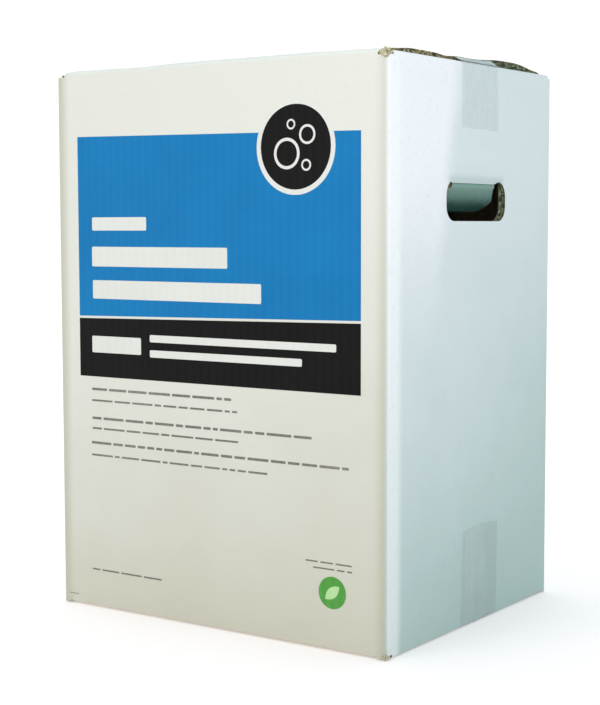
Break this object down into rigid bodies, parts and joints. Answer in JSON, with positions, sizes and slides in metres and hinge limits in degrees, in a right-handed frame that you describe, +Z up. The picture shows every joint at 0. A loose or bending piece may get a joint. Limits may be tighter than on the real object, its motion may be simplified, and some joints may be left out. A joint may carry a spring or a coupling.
{
  "type": "washing powder box",
  "caption": "Tall taped corrugated carton of washing powder, with hinged hand-hole tabs in its sides and a filled liner bag inside.",
  "frame": {"origin": "middle of the base, on the floor", "axes": "+Z up along the walls, -Y out of the front panel, +X towards the right side panel"},
  "size_m": [0.331, 0.271, 0.4638],
  "materials": {
    "white_board": "matte",
    "clear_tape": "gloss",
    "liner_film": "satin"
  },
  "bodies": {
    "box": {"carton": "white_board", "top_tape": "clear_tape", "bottom_tape": "clear_tape", "powder_bag": "liner_film"},
    "right_tab": {"right_hand_tab": "white_board"},
    "left_tab": {"left_hand_tab": "white_board"}
  },
  "joints": [
    {"name": "right_tab_fold", "type": "hinge", "parent": "box", "child": "right_tab", "pos_m": [0.1622, 0, 0.35735], "axis": [0, 1, 0], "range_deg": [-50, 40]},
    {"name": "left_tab_fold", "type": "hinge", "parent": "box", "child": "left_tab", "pos_m": [-0.1622, 0, 0.35735], "axis": [0, -1, 0], "range_deg": [-50, 40]}
  ]
}
